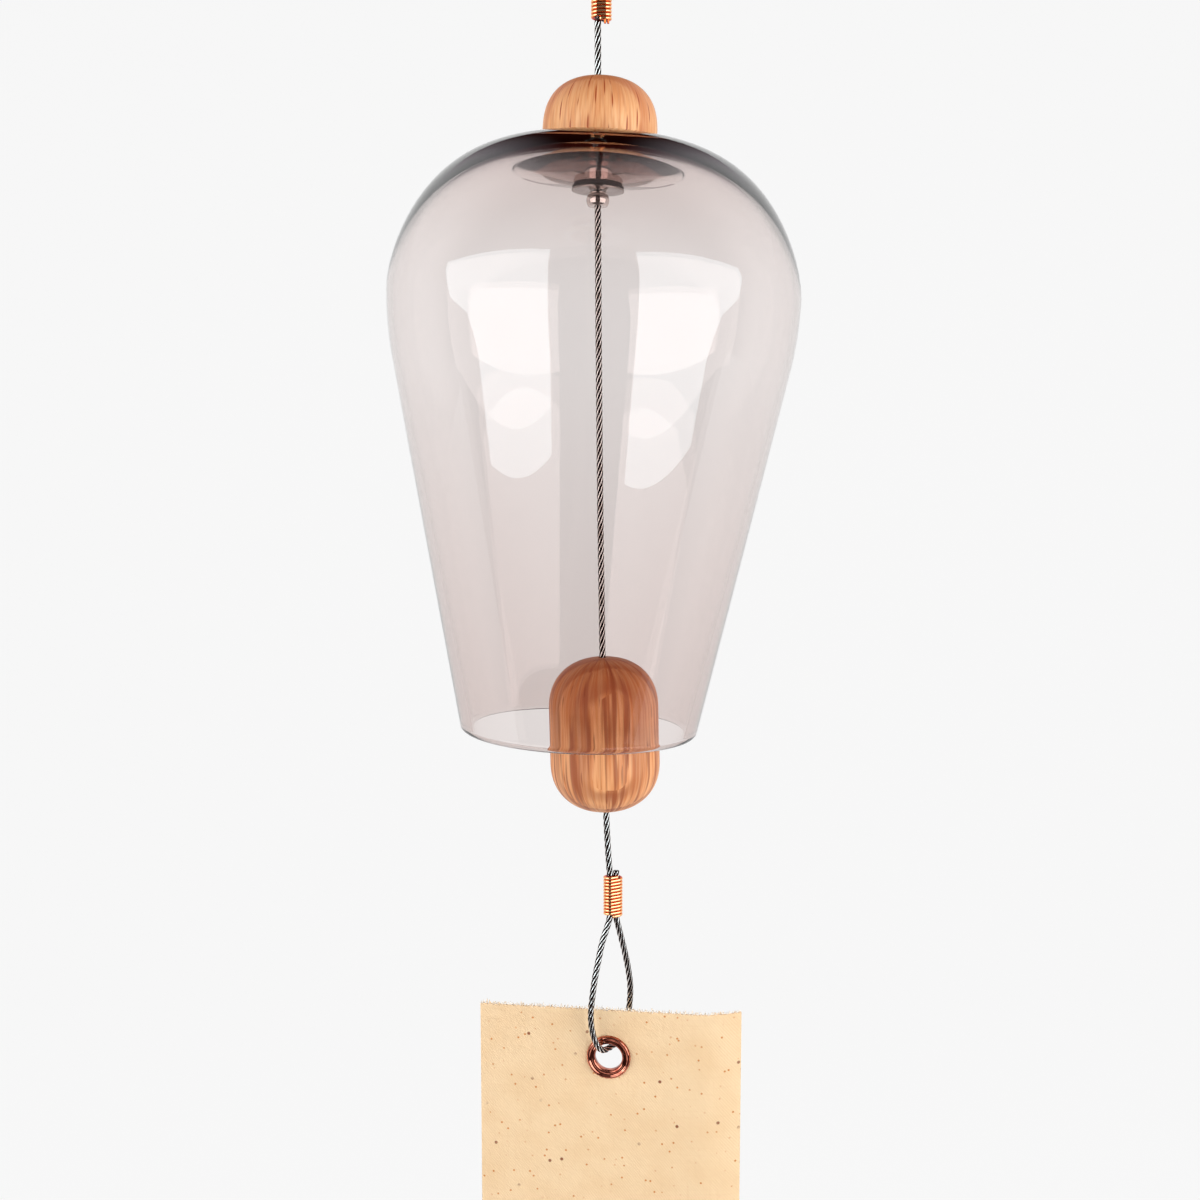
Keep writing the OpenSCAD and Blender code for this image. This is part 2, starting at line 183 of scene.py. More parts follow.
def rgb(*colour):
    # a colour as a screen shows it, 0 to 255, made linear
    shares = [value / 255 for value in colour]
    return (*(value / 12.92 if value <= 0.04045 else ((value + 0.055) / 1.055) ** 2.4
              for value in shares), 1)


# modelling helpers
def only(piece):
    bpy.ops.object.select_all(action="DESELECT")
    piece.select_set(True)
    bpy.context.view_layer.objects.active = piece


def mode(kind):
    bpy.ops.object.mode_set(mode=kind)


def settle(piece, location, rotation=(0, 0, 0)):
    # puts a finished piece in its place, with the place in its mesh
    only(piece)
    piece.location = location
    piece.rotation_euler = rotation
    bpy.ops.object.transform_apply(location=True, rotation=True, scale=True)


making = {
    "seed": 0.01,  # a little plane that shrinks to an outline's first point
    "weld": 1e-6,
    "bevelSteps": 3,
    "bevelFrom": 50,  # degrees
    "routeSteps": 24,
}


def drawLine(name, points, unit=1):
    # edges from point to point, all selected, left in edit mode
    bpy.ops.mesh.primitive_plane_add(size=making["seed"])
    piece = bpy.context.object
    piece.name = name
    mode("EDIT")
    bpy.ops.mesh.merge(type="CENTER")
    bpy.ops.transform.translate(value=[value * unit for value in points[0]])
    for before, after in zip(points, points[1:]):
        bpy.ops.mesh.extrude_vertices_move(TRANSFORM_OT_translate={
            "value": [(b - a) * unit for a, b in zip(before, after)]})
    bpy.ops.mesh.select_all(action="SELECT")
    return piece


def turned(name, outline, steps, bevel=None, smooth=35):
    # a closed outline of (radius, height) pairs, spun round the upright axis
    piece = drawLine(name, [(r, 0, z) for r, z in outline + outline[:1]], mm)
    bpy.ops.mesh.remove_doubles(threshold=making["weld"])
    bpy.ops.mesh.spin(steps=steps, angle=tau, center=(0, 0, 0), axis=(0, 0, 1))
    bpy.ops.mesh.select_all(action="SELECT")
    bpy.ops.mesh.remove_doubles(threshold=making["weld"])
    bpy.ops.mesh.normals_make_consistent(inside=False)
    mode("OBJECT")
    if bevel:
        rounding = piece.modifiers.new("rounding", "BEVEL")
        rounding.width = bevel * mm
        rounding.segments = making["bevelSteps"]
        rounding.angle_limit = radians(making["bevelFrom"])
        bpy.ops.object.modifier_apply(modifier="rounding")
    bpy.ops.object.shade_smooth_by_angle(angle=radians(smooth))
    return piece


def addMesh(name, points, faces, faceUvs):
    mesh = bpy.data.meshes.new(name)
    mesh.from_pydata(points, [], faces)
    layer = mesh.uv_layers.new(name="along")
    layer.data.foreach_set("uv", [value for pair in faceUvs for value in pair])
    piece = bpy.data.objects.new(name, mesh)
    bpy.context.collection.objects.link(piece)
    only(piece)
    bpy.ops.object.shade_smooth()
    return piece


def dress(piece, material, body, slotName, *nodes):
    piece.data.materials.clear()
    piece.data.materials.append(material)
    if nodes:
        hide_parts(*nodes)
    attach(piece, body)


def partWay(first, last, start, end, now):
    return first * ((end - now) / (end - start)) + last * ((now - start) / (end - start))


def smoothRoute(points, step):
    # an even walk along a rounded curve through the points
    knots = [Vector(p) for p in points]
    knots = [knots[0] * 2 - knots[1]] + knots + [knots[-1] * 2 - knots[-2]]
    fine = []
    for i in range(1, len(knots) - 2):
        a, b, c, d = knots[i - 1:i + 3]
        tb = (b - a).length ** 0.5
        tc = tb + (c - b).length ** 0.5
        td = tc + (d - c).length ** 0.5
        for k in range(making["routeSteps"]):
            t = tb + (tc - tb) * k / making["routeSteps"]
            bc = partWay(b, c, tb, tc, t)
            abc = partWay(partWay(a, b, 0, tb, t), bc, 0, tc, t)
            bcd = partWay(bc, partWay(c, d, tc, td, t), tb, td, t)
            fine.append(partWay(abc, bcd, tb, tc, t))
    fine.append(knots[-2])
    lengths = [0]
    for a, b in zip(fine, fine[1:]):
        lengths.append(lengths[-1] + (b - a).length)
    count = round(lengths[-1] / step)
    walk, j = [], 0
    for i in range(count + 1):
        aim = lengths[-1] * i / count
        while j < len(lengths) - 2 and lengths[j + 1] < aim:
            j += 1
        share = (aim - lengths[j]) / (lengths[j + 1] - lengths[j])
        walk.append(fine[j].lerp(fine[j + 1], min(1, share)))
    return walk, lengths[-1]


def sweep(name, walk, ringRadius, twist=0):
    # a closed skin along the walk; ringRadius gives the radius at each side
    sides = len(ringRadius)
    tangents = [(after - before).normalized()
                for before, after in zip(walk[:1] + walk, walk[1:] + walk[-1:])]
    side = tangents[0].orthogonal().normalized()
    points, faces, faceUvs, runs, run = [], [], [], [], 0
    for i, (place, ahead) in enumerate(zip(walk, tangents)):
        side = (side - ahead * side.dot(ahead)).normalized()
        across = ahead.cross(side)
        run += (place - walk[i - 1]).length if i else 0
        runs.append(run)
        for k in range(sides):
            angle = tau * k / sides + twist * run
            points.append((place + side * (ringRadius[k] * cos(angle))
                           + across * (ringRadius[k] * sin(angle))) * mm)
    for i in range(len(walk) - 1):
        for k in range(sides):
            nextK = (k + 1) % sides
            faces.append((i * sides + k, i * sides + nextK,
                          (i + 1) * sides + nextK, (i + 1) * sides + k))
            for a, b in ((i, k), (i, k + 1), (i + 1, k + 1), (i + 1, k)):
                faceUvs.append((b / sides + twist * runs[a] / tau, runs[a]))
    for ring, centre, flip in ((0, walk[0], True), (len(walk) - 1, walk[-1], False)):
        points.append(centre * mm)
        hub = len(points) - 1
        for k in range(sides):
            a, b = ring * sides + k, ring * sides + (k + 1) % sides
            faces.append((hub, b, a) if flip else (hub, a, b))
            faceUvs += [(0, 0)] * 3
    return addMesh(name, points, faces, faceUvs)


# what hangs where, from the hook down
level = {
    "whip1Top": -32.2, "whip1Foot": -43.12, "capTop": -56.22, "capFoot": -71.72,
    "seat": -72.12, "boss": -78.52, "pivot": -80.97, "ballFoot": -84.87,
    "belly": -106.92, "rim": -214.12, "beadTop": -195.57, "beadFoot": -234.358,
    "whip2Top": -251.058, "whip2Foot": -261.978, "eyelet": -298.978,
    "sailTop": -286.678,
}
acrossAt = {"hook": 0.7, "stop": -0.1, "beadTop": 1.0, "beadFoot": 1.94797,
            "whip2": 3.64797, "sail": 2.64797}
bellLean = radians(2.1)


def spot(across, height):
    return acrossAt[across], 0, level[height]


def lean(piece):
    settle(piece, metres(spot("stop", "pivot")), (0, bellLean, 0))


def belowPivot(outline):
    return [(r, z - level["pivot"]) for r, z in outline]


# wire rope
rope = {
    "radius": 0.8,
    "strands": 6,
    "strandRadius": 0.275,
    "lay": 11.2,  # one full turn of a strand
    "sidesPerStrand": 8,
    "ring": 0.34,
    "wires": 24,  # fine lines round the rope
    "strandOffset": 0.85,  # two ropes side by side in a whipping
    "paintedShadeAt": (0.1, 0.24),  # share of a strand, from its crest
    "metal": rgb(232, 226, 223),
    "dirt": rgb(150, 124, 108),
    "dirtShare": 0.45,
    # painted shade: the dark colour laid in the valleys between the strands
    "paintedShade": rgb(24, 14, 12),
    "roughness": (0.11, 0.27),  # from clean to dirty
    "wireDeep": 0.00001,  # metres
    "pathStep": 4,  # every so many points of the skin's walk go into the cord's path
}


def ropeFinish():
    f = Finish("strandedSteel")
    u, v, w = f.split(f.uv())
    wires = (u * (rope["wires"] * tau)).maths("SINE")
    strand = ((u - v / rope["lay"]) * rope["strands"]) % 1.0
    fromCrest = (strand - 0.5).maths("ABSOLUTE")
    grime = f.noise(f.place(), scale=0.35, detail=3)
    tone = f.mix(f.band(grime, 0.5, 0.72, 0, rope["dirtShare"]), rope["metal"], rope["dirt"])
    # painted shade: darkens the valleys between the strands, away from their crests
    tone = f.mix(f.band(fromCrest, *rope["paintedShadeAt"]), tone, rope["paintedShade"])
    return f.finishWith({
        "Base Color": tone, "Metallic": 1.0,
        "Roughness": f.band(grime, 0.3, 0.7, *rope["roughness"]),
        "Normal": f.bump(wires, rope["wireDeep"], 0.08)})


strandedSteel = ropeFinish()
ropeWide = 2 * rope["radius"] * mm


def ropeSection():
    sides = rope["strands"] * rope["sidesPerStrand"]
    centre = rope["radius"] - rope["strandRadius"]
    reach = []
    for k in range(sides):
        turn = (k / rope["sidesPerStrand"]) % 1
        phase = (turn - 0.5) * tau / rope["strands"]
        inside = max(0, rope["strandRadius"] ** 2 - (centre * sin(phase)) ** 2)
        reach.append(centre * cos(phase) + sqrt(inside))
    return reach


def layRope(name, route, body, node):
    walk, length = smoothRoute(route, rope["ring"])
    piece = sweep(name, walk, ropeSection(), tau / rope["lay"])
    dress(piece, strandedSteel, body, "rope", node)
    print("rope", name, "length", round(length, 2), "mm")
    return piece, [tuple(p * mm) for p in walk[::rope["pathStep"]] + walk[-1:]]


def strandAt(x, yaw, side, z):
    # a rope's centre inside a whipping, on its left (-1) or right (1)
    turn = radians(yaw)
    offset = side * rope["strandOffset"]
    return (x + offset * cos(turn), offset * sin(turn), z)


topLoop = {
    "length": 93.1,
    "yaw": 4,
    "inWhipping": (0.6, 5.5, 0.05),  # first end, both middles and last end over its foot
    "route": [(-1.2, -0.2, 2), (-2.2, -0.3, 6.2), (-3.4, -0.4, 10.6), (-4.6, -0.5, 15.2),
              (-5.4, -0.5, 20), (-5.7, -0.4, 24.4), (-5.1, -0.3, 28.6), (-3.5, -0.2, 31.7),
              (-0.7, 0, 33), (2.1, 0.2, 31.9), (4.1, 0.3, 28.8), (4.8, 0.4, 24.4),
              (4.6, 0.5, 20), (3.9, 0.5, 15.2), (2.9, 0.4, 10.6), (1.9, 0.3, 6.2),
              (1.1, 0.2, 2)],
}


def makeTopLoop():
    x, top, foot = acrossAt["hook"], level["whip1Top"], level["whip1Foot"]
    first, middle, last = (foot + over for over in topLoop["inWhipping"])
    route = [strandAt(x, topLoop["yaw"], -1, z) for z in (first, middle, top)]
    route += [(x + p[0], p[1], top + p[2]) for p in topLoop["route"]]
    route += [strandAt(x, topLoop["yaw"], 1, z) for z in (top, middle, last)]
    piece, path = layRope("hangingLoopRope", route, "hanger", "hanging_loop")


makeTopLoop()

upperRope = {
    "length": 41.6,
    "start": 0.2,
    "inStop": 0.35,
    "steps": 9,
    "ease": 1.6,  # how soon it comes to the middle
}


def makeUpperRope():
    start = strandAt(acrossAt["hook"], topLoop["yaw"], -1,
                     level["whip1Foot"] + upperRope["start"])
    foot = level["ballFoot"] + upperRope["inStop"]
    route = []
    for q in range(upperRope["steps"] + 1):
        share = q / upperRope["steps"]
        ease = min(1, share * upperRope["ease"])
        ease *= 2 - ease
        route.append((start[0] + (acrossAt["stop"] - start[0]) * ease, start[1] * (1 - ease),
                      start[2] + (foot - start[2]) * share))
    piece, path = layRope("upperRope", route, "suspension", "upper_rope")


makeUpperRope()

clapperRope = {
    "length": 149.6,
    "inStop": 0.5,
    "inClapper": (0.1, 0.5, 0.99),
    "drift": [(0, 0), (0.03, 0.1), (0.12, 0.28), (0.3, 0.5), (0.55, 0.72), (0.8, 0.88), (1, 1)],
}


def makeClapperRope():
    top, foot = level["ballFoot"] + clapperRope["inStop"], level["beadTop"]
    route = [(acrossAt["stop"] + (acrossAt["beadTop"] - acrossAt["stop"]) * a, 0,
              top + (foot - top) * b) for a, b in clapperRope["drift"]]
    for q in clapperRope["inClapper"]:
        route.append((acrossAt["beadTop"] + (acrossAt["beadFoot"] - acrossAt["beadTop"]) * q, 0,
                      level["beadTop"] + (level["beadFoot"] - level["beadTop"]) * q))
    piece, path = layRope("clapperRope", route, "clapper", "clapper_rope")


makeClapperRope()

sailRope = {
    "length": 117.6,
    "yaw": 17,
    "inClapper": 0.5,
    "tail": 0.9,
    "drift": [(0, 0), (0.02, 0.14), (0.3, 0.45), (0.72, 0.8)],
    "route": [(-1.4, -0.5, -2.4), (-2.7, -1.2, -6.4), (-3.7, -1.9, -11), (-4.6, -2.5, -15.6),
              (-5.2, -2.9, -20), (-5.6, -3.1, -24.4), (-5.4, -3.2, -28), (-4.7, -3.1, -31),
              (-3.7, -2.8, -33.3), (-2.5, -1.9, -34.5), (-1, 0, -34.8), (0.5, 1.9, -34.5),
              (1.9, 2.9, -33.2), (3, 3.4, -30.6), (3.9, 3.5, -27.4), (4.4, 3.3, -23.6),
              (4.5, 3, -19.4), (4, 2.4, -15), (3.2, 1.7, -10.6), (2.2, 1, -6.2),
              (1.3, 0.4, -2.4)],
}


def makeSailRope():
    x, top, foot = acrossAt["whip2"], level["whip2Top"], level["whip2Foot"]
    start = acrossAt["beadFoot"], 0, level["beadFoot"] + sailRope["inClapper"]
    end = strandAt(x, sailRope["yaw"], -1, top)
    route = [tuple(a + (b - a) * share for a, b, share in zip(start, end, (s, s, t)))
             for s, t in sailRope["drift"]]
    route += [strandAt(x, sailRope["yaw"], -1, z) for z in (top, (top + foot) / 2, foot)]
    route += [(x + p[0], p[1], foot + p[2]) for p in sailRope["route"]]
    route += [strandAt(x, sailRope["yaw"], 1, z)
              for z in (foot, (top + foot) / 2, top + sailRope["tail"])]
    piece, path = layRope("sailRope", route, "drop", "sail_loop")


makeSailRope()

# copper whippings
whipping = {
    "wire": 0.4,  # radius of the wire
    "turns": 13,
    "pitch": 0.84,
    "reach": 1.25,  # wire's centre from the ropes' centres
    "perTurn": 48,
    "tail": 0.5,
    "sides": 12,
    "stubSides": 10,
    "stubDeep": 0.6,
    # painted highlight for the outside of each turn and painted shade for where the turns meet,
    # with plain copper between
    "paintedHighlight": rgb(255, 206, 150),
    "copper": rgb(250, 132, 66),
    "paintedShade": rgb(190, 44, 8),
    "copperAt": 0.26,  # past the wire's centre
    "paintedHighlightFrom": 0.27,
    "paintedHighlightAt": 0.39,
    "roughness": (0.12, 0.2),
}


def copperWire(name, place, yaw):
    # painted highlight on the outside of each turn, painted shade in deep red where the turns
    # meet
    f = Finish(name)
    px, py, pz = f.split(f.place(place, (0, 0, radians(yaw))))
    beyond = (px.maths("ABSOLUTE") - rope["strandOffset"]).maths("MAXIMUM", 0.0)
    away = (beyond * beyond + py * py).maths("SQRT")
    blotch = f.noise(f.place(), scale=0.5, detail=3)
    w, reach = whipping, whipping["reach"]
    # painted shade on the inner side of the wire, then the painted highlight on its outside
    tone = f.mix(f.band(away, reach, reach + w["copperAt"]), w["paintedShade"], w["copper"])
    tone = f.mix(f.band(away, reach + w["paintedHighlightFrom"], reach + w["paintedHighlightAt"]), tone, w["paintedHighlight"])
    return f.finishWith({
        "Base Color": tone, "Metallic": 1.0,
        "Roughness": f.band(blotch, 0.3, 0.75, *w["roughness"])})


def stadium(turn, half, radius):
    # where the wire is after so many turns round two ropes side by side
    arc = pi * radius
    whole = 4 * half + 2 * arc
    d = (turn - floor(turn)) * whole
    if d < half:
        return d, -radius
    if d < half + arc:
        a = (d - half) / radius
        return half + radius * sin(a), -radius * cos(a)
    if d < 3 * half + arc:
        return 2 * half + arc - d, radius
    if d < 3 * half + 2 * arc:
        a = (d - 3 * half - arc) / radius
        return -half - radius * sin(a), radius * cos(a)
    return d - whole, -radius


def windWire(name, place, yaw, stubs):
    # stubs are cut rope ends below it: place across, how far down, radius
    w = whipping
    turns = w["turns"] - 2 * w["wire"] / w["pitch"]
    steps = int(turns * w["perTurn"])
    turn = radians(yaw)
    c, s = cos(turn), sin(turn)

    def put(px, py, pz):
        return Vector((place[0] + px * c - py * s, px * s + py * c, place[2] + pz))

    walk = []
    for i in range(steps + 1):
        px, py = stadium(i / w["perTurn"], rope["strandOffset"], w["reach"])
        walk.append(put(px, py, w["wire"] + i / w["perTurn"] * w["pitch"]))
    walk.insert(0, walk[0] + (walk[0] - walk[1]).normalized() * w["tail"])
    walk.append(walk[-1] + (walk[-1] - walk[-2]).normalized() * w["tail"])
    piece = sweep(name, walk, [w["wire"]] * w["sides"])
    parts = [piece]
    for i, (px, py, tall, thick) in enumerate(stubs):
        deep = w["stubDeep"]
        ends = [put(px, py, deep - (tall + deep) * q / 4) for q in range(5)]
        parts.append(sweep(name + "Stub%d" % i, ends, [thick] * w["stubSides"]))
    only(piece)
    for part in parts:
        part.select_set(True)
    if len(parts) > 1:
        bpy.ops.object.join()
    return piece


for name, place, turn, body, node, stubs in (
        ("upper", spot("hook", "whip1Foot"), topLoop["yaw"], "hanger", "upper_whipping",
         [(0.79, -1.2, 0.8, 0.27), (1.55, -0.95, 0.75, 0.27)]),
        ("lower", spot("whip2", "whip2Foot"), sailRope["yaw"], "drop", "lower_whipping", [])):
    wire = windWire(name + "WhippingWire", place, turn, stubs)
    dress(wire, copperWire(name + "Copper", place, turn), body, "copper_wire", node)
print("whippings wound")

# oak
oakWood = {
    "wobble": 4.0,  # how far a growth ring wanders
    "slant": 0.12,
    "darkens": (0.3, 0.85),  # where a ring's dark part comes, as a share of its width
    "clears": (0.86, 1.0),
    "ringDepth": 0.4,
    "endGrainAndShade": 0.6,
    "pore": (0.08, 0.17),
    "poreEdge": 0.06,
    "roughness": (0.4, 0.55),
    "relief": 0.00003,  # metres
}
# top is the span of heights over which each piece darkens: darker end grain with painted shade
oakLook = {
    "cap": {
        "pale": rgb(246, 190, 134), "warm": rgb(234, 162, 102),
        "late": rgb(196, 106, 56), "dash": rgb(172, 70, 20),
        "heart": (6, 26, 0.02), "phase": 0.0, "spacing": 6.5, "rings": 0.5,
        "streaks": 0.4, "grain": (1.1, 0.09), "top": (3.0, 15.5),
        "dashWide": 1.5, "dashTall": 18.0, "dashes": 1.0, "dropped": 0.37,
    },
    "clapper": {
        "pale": rgb(240, 176, 122), "warm": rgb(218, 136, 78),
        "late": rgb(150, 68, 30), "dash": rgb(112, 36, 10),
        "heart": (-5, 34, 0.05), "phase": 0.35, "spacing": 4.2, "rings": 0.45,
        "streaks": 0.75, "grain": (0.55, 0.035), "top": (-16.0, 0.0),
        "dashWide": 1.9, "dashTall": 26.0, "dashes": 0.5, "dropped": 0.5,
    },
}


def oakFinish(name, shift, turn, look, reach):
    # growth rings round an axis beside the piece, soft streaks and dark pores
    f = Finish(name)
    at = f.place(shift, turn)
    wobble = f.noise(f.stretch(at, (0.07, 0.07, 0.03)))
    x, y, z = f.split(at)
    heart = look["heart"]
    dx = x - heart[0] + z * heart[2]
    dy = y - heart[1]
    away = (dx * dx + dy * dy).maths("SQRT") + wobble * oakWood["wobble"]
    ring = (away / look["spacing"] + look["phase"]) % 1.0
    late = f.band(ring, *oakWood["darkens"]) * f.band(ring, *oakWood["clears"], 1, 0)
    # streaks and pores follow the turned surface from the foot up to the top
    around = x.maths("ARCTAN2", y * -1.0) * reach
    sheet = f.node("ShaderNodeCombineXYZ", {
        0: around, 1: z + x * oakWood["slant"], 2: ring * oakWood["ringDepth"]})
    across, along = look["grain"]
    fibre = f.noise(f.stretch(sheet, (across * 2.2, along * 1.6, 1)), detail=3)
    streak = f.noise(f.stretch(sheet, (across, along, 1)))
    tone = f.mix(f.band(fibre, 0.36, 0.66), look["pale"], look["warm"])
    # streaks and rings are the wood's own; the last share darkens the top of each piece with the
    # late colour, partly as darker end grain and partly as painted shade where less light reaches
    # it, on the clapper its part inside the bell
    for share in (f.band(streak, 0.48, 0.66, 0, look["streaks"]), late * look["rings"],
                  f.band(z, *look["top"], 0, oakWood["endGrainAndShade"])):
        tone = f.mix(share, tone, look["late"])
    cells = f.cells(f.stretch(sheet, (1 / look["dashWide"], 1 / look["dashTall"], 1)))
    patches = f.noise(f.stretch(sheet, (0.5, 0.09, 1)))
    kept = f.band(patches, look["dropped"], look["dropped"] + oakWood["poreEdge"])
    pores = f.band(cells, *oakWood["pore"], 1, 0) * kept
    tone = f.mix(pores * look["dashes"], tone, look["dash"])
    return f.finishWith({
        "Base Color": tone, "Roughness": f.band(fibre, 0.3, 0.7, *oakWood["roughness"]),
        "Specular IOR Level": 0.4, "Normal": f.bump(fibre, oakWood["relief"], 0.3)})


def dome(r, h, power, boreR, top, steps):
    # the rounded end of a turned piece, from its full radius in to its bore
    last = acos((boreR / r) ** (power / 2))
    return [(r * cos(last * i / steps) ** (2 / power),
             top - h + h * sin(last * i / steps) ** (2 / power)) for i in range(steps + 1)]


cap = {"radius": 13.75, "round": 13, "power": 2.55, "bore": 2.0, "steps": 40, "spin": 160,
       "foot": [(-0.3, 0), (-0.08, 0.09), (0, 0.3)],  # rounded edge, from the radius and the foot
       "mouth": [(0.25, 0), (0.07, -0.08), (0, -0.3)]}  # from the bore and the top
capOak = oakFinish("oakCap", spot("stop", "capFoot"), (0, bellLean, 0), oakLook["cap"],
                   cap["radius"])


def makeCap():
    mouth = [(cap["bore"] + r, level["capTop"] + z) for r, z in cap["mouth"]]
    outline = [(cap["bore"], level["capFoot"])]
    outline += [(cap["radius"] + r, level["capFoot"] + z) for r, z in cap["foot"]]
    outline += dome(cap["radius"], cap["round"], cap["power"], mouth[0][0],
                    level["capTop"], cap["steps"]) + mouth[1:]
    piece = turned("oakCapTurned", belowPivot(outline), cap["spin"])
    lean(piece)
    dress(piece, capOak, "bell", "oak", "oak_cap")


makeCap()

bead = {"radius": 13.7, "tall": 38.8, "round": 12.6, "power": 2.25, "bore": 0.9, "tilt": 1.4,
        "mouth": (0.2, 0.3), "steps": 40, "spin": 160}
beadTurn = (0, -radians(bead["tilt"]), 0)
beadOak = oakFinish("oakClapper", spot("beadTop", "beadTop"), beadTurn, oakLook["clapper"],
                    bead["radius"])


def makeBead():
    wider, deep = bead["mouth"]
    top = dome(bead["radius"], bead["round"], bead["power"], bead["bore"] + wider, 0,
               bead["steps"])
    outline = [(bead["bore"], -bead["tall"] + deep)]
    outline += [(r, -bead["tall"] - z) for r, z in reversed(top)]
    outline += top + [(bead["bore"], -deep)]
    piece = turned("oakClapperTurned", outline, bead["spin"])
    settle(piece, metres(spot("beadTop", "beadTop")), beadTurn)
    dress(piece, beadOak, "clapper", "oak", "clapper_bead")


makeBead()
print("oak turned")

# glass
glass = {
    "radius": 49.8, "depth": 34.8, "tall": 142, "foot": 29.3,
    "bend": 86,  # radius of the curve from the widest part into the straight cone
    "wall": 1.3, "lip": 2.8, "crown": 1.8, "bossRadius": 21.5, "bore": 3.0, "flat": 6.3,
    "flatShare": 0.967,  # where the shoulder's curve is cut off by the flat top
    "roundness": (1.55, 3.35),  # powers of height and radius in that curve
    "steps": 46, "bendSteps": 16, "coneSteps": 26, "lipSteps": 12, "spin": 224,
    "firstRings": (0.004, 0.012, 0.03, 0.07),  # close to the lip, to keep the cone straight
    "rings": (0.02, 0.06, 0.15, 0.35, 0.6, 0.85, 0.96),
    "ior": 1.5,
    "density": 90.0,
    "tint": (0.40, 0.12, 0.04, 1),
    "shade": (0.76, 0.62, 0.52, 1),
}


def coneAngle(radius, foot):
    # the slope that joins the foot to the bend, found by halving
    g, low, high = glass, 2.0, 30.0
    for _ in range(40):
        middle = (low + high) / 2
        a = radians(middle)
        reach = (radius - g["bend"] * (1 - cos(a)) - foot
                 - (g["tall"] - g["depth"] - g["bend"] * sin(a)) * tan(a))
        low, high = (middle, high) if reach > 0 else (low, middle)
    return radians((low + high) / 2)


def wallLine(radius, foot, rise, topShare):
    # one side of the wall, from the lip up to the flat or the boss
    g = glass
    a = coneAngle(radius, foot)
    lipHeight = level["rim"] + g["lip"] / 2
    lip = (foot + (lipHeight - level["rim"]) * tan(a), lipHeight)
    turns = [a * (1 - i / g["bendSteps"]) for i in range(g["bendSteps"] + 1)]
    bend = [(radius - g["bend"] * (1 - cos(t)), level["belly"] - g["bend"] * sin(t))
            for t in turns]
    last = g["firstRings"][-1]
    line = [lip] + between(lip, bend[0], g["firstRings"]) + between(lip, bend[0], [
        last + (1 - last) * i / g["coneSteps"] for i in range(1, g["coneSteps"])]) + bend
    up, out = g["roundness"]
    for i in range(1, g["steps"] + 1):
        t = topShare * sin(pi / 2 * i / g["steps"])
        line.append((radius * (1 - t ** up) ** (1 / out), level["belly"] + rise * t))
    return line


def between(start, end, shares):
    # points on a straight stretch, so that it keeps its own shading
    return [(start[0] + (end[0] - start[0]) * s, start[1] + (end[1] - start[1]) * s)
            for s in shares]


def makeGlass():
    g = glass
    up, out = g["roundness"]
    innerRadius = g["radius"] - g["wall"]
    shareAtBoss = (1 - (g["bossRadius"] / innerRadius) ** out) ** (1 / up)
    outer = wallLine(g["radius"], g["foot"], g["depth"] / g["flatShare"], g["flatShare"])
    inner = wallLine(innerRadius, g["foot"] - g["lip"], g["depth"] - g["crown"], shareAtBoss)
    middle = (outer[0][0] + inner[0][0]) / 2
    half = (outer[0][0] - inner[0][0]) / 2
    turns = [pi * k / g["lipSteps"] for k in range(1, g["lipSteps"])]
    lip = [(middle - half * cos(t), outer[0][1] - g["lip"] / 2 * sin(t)) for t in turns]
    hole = (g["bore"], level["seat"])
    ledge = (g["flat"], level["boss"])
    outline = lip + outer + between(outer[-1], hole, g["rings"]) + [
        hole, (g["bore"], level["boss"]), ledge]
    outline += between(ledge, inner[-1], g["rings"]) + inner[::-1]
    piece = turned("blownGlass", belowPivot(outline), g["spin"], smooth=40)
    lean(piece)
    f = Finish("smokeGlass")
    volume = f.node("ShaderNodeVolumeAbsorption", {
        "Color": g["tint"], "Density": g["density"]})
    clear = f.node("ShaderNodeBsdfPrincipled", {
        "Base Color": (1, 1, 1, 1), "Roughness": 0, "IOR": g["ior"], "Transmission Weight": 1})
    through = f.node("ShaderNodeBsdfTransparent", {"Color": g["shade"]})
    f.close(f.node("ShaderNodeMixShader", {
        0: f.ray("Is Shadow Ray"), 1: clear, 2: through}), volume)
    dress(piece, f.owner, "bell", "smoke_glass", "glass_bell")


makeGlass()
print("glass blown")

# pad, washers and stop
rings = {
    "corkPadRing": {"outer": 13.55, "bore": 2.2, "foot": level["seat"] + 0.05, "tall": 0.34,
                    "bevel": 0.1},
    "sealRing": {"outer": 5.9, "bore": 1.4, "foot": level["boss"] - 0.95, "tall": 0.9,
                 "bevel": 0.2},
    "rubberRing": {"outer": 6.3, "bore": 1.4, "foot": level["pivot"] + 0.7, "tall": 0.8,
                   "bevel": 0.15},
    "steelRing": {"outer": 6.4, "bore": 1.4, "foot": level["pivot"] + 0.2, "tall": 0.5,
                  "bevel": 0.08},
}
ringSpin = 128


def ringOutline(bore, outer, foot, top):
    return [(bore, foot), (outer, foot), (outer, top), (bore, top)]


def makeRing(name):
    spec = rings[name]
    outline = ringOutline(spec["bore"], spec["outer"], spec["foot"], spec["foot"] + spec["tall"])
    piece = turned(name, belowPivot(outline), ringSpin, spec["bevel"])
    lean(piece)
    return piece


def padFinish():
    f = Finish("corkPad")
    specks = f.noise(f.place(), scale=1.6, detail=4, roughness=0.7)
    tone = f.ramp(specks, 0.35, 0.6, rgb(120, 76, 40), rgb(186, 126, 68))
    return f.finishWith({"Base Color": tone, "Roughness": 0.8,
                         "Normal": f.bump(specks, 0.00005, 0.6)})


def rubberFinish(name, dark, light, roughness):
    f = Finish(name)
    dust = f.noise(f.place(), scale=1.1, detail=4, roughness=0.65)
    tone = f.ramp(dust, 0.4, 0.72, dark, light)
    return f.finishWith({"Base Color": tone,
                         "Roughness": f.band(dust, 0.3, 0.7, roughness, roughness + 0.15),
                         "Normal": f.bump(dust, 0.00003, 0.4)})


